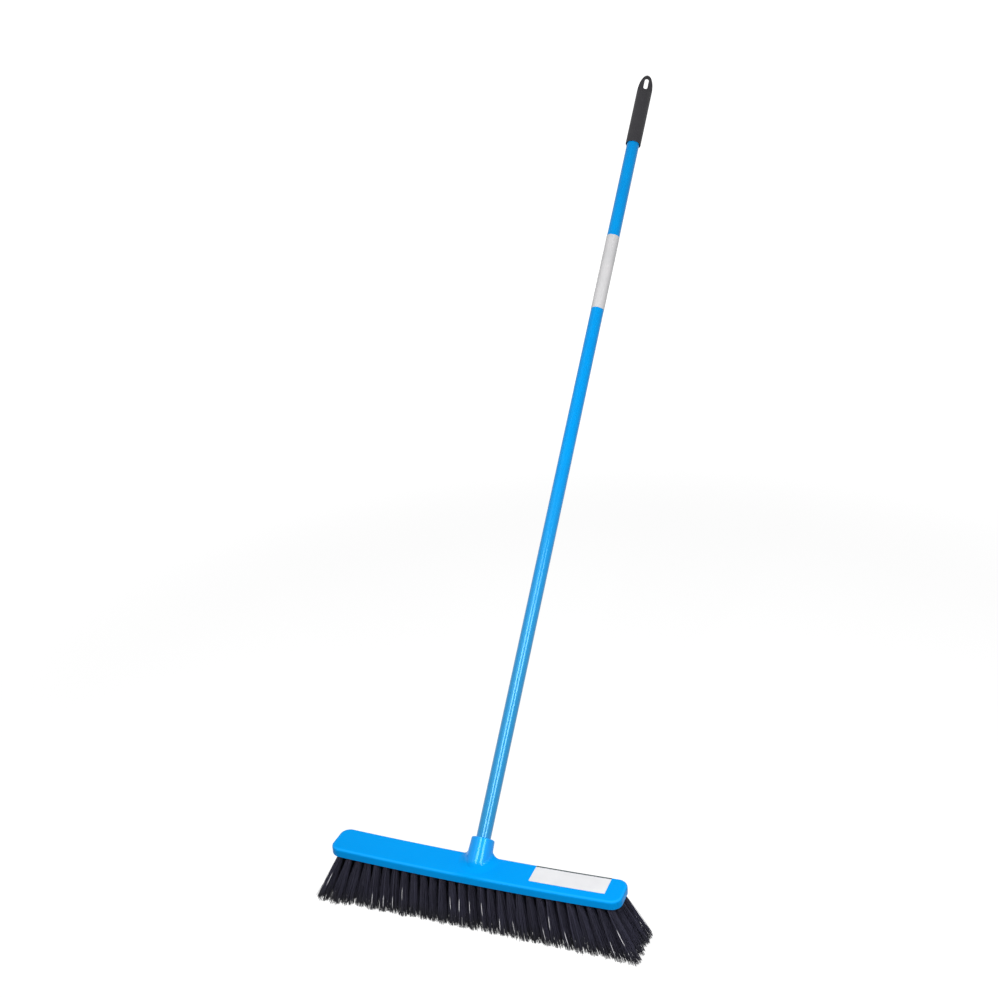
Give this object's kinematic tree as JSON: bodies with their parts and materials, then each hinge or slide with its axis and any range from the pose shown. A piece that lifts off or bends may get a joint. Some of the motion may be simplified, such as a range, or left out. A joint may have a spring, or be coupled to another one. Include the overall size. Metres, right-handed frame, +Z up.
{
  "type": "push broom",
  "caption": "Push broom with an arched moulded block, an angled socket, splayed bristle rows and a long tubular handle with a hanging cap, for sweeping floors.",
  "frame": {"origin": "on the floor under the middle of the head, at the flat tip of a strand of the third bristle row", "axes": "+X along the head, +Y to the side that the handle leans to, +Z up from the floor"},
  "size_m": [0.5414, 1.1073, 1.1592],
  "materials": {
    "moulding": "moulded polypropylene, semi-gloss",
    "bristle": "drawn polypropylene filament, charcoal",
    "tube_coating": "blue plastic coating on a thin steel tube",
    "cap": "moulded, satin charcoal",
    "screw": "zinc plated"
  },
  "bodies": {
    "root": {"head_block": "moulding", "bristle_row_front": "bristle", "bristle_row_mid_front": "bristle", "bristle_row_mid_back": "bristle", "bristle_row_back": "bristle", "handle_tube": "tube_coating", "hang_cap": "cap", "handle_screw": "screw"}
  },
  "joints": []
}
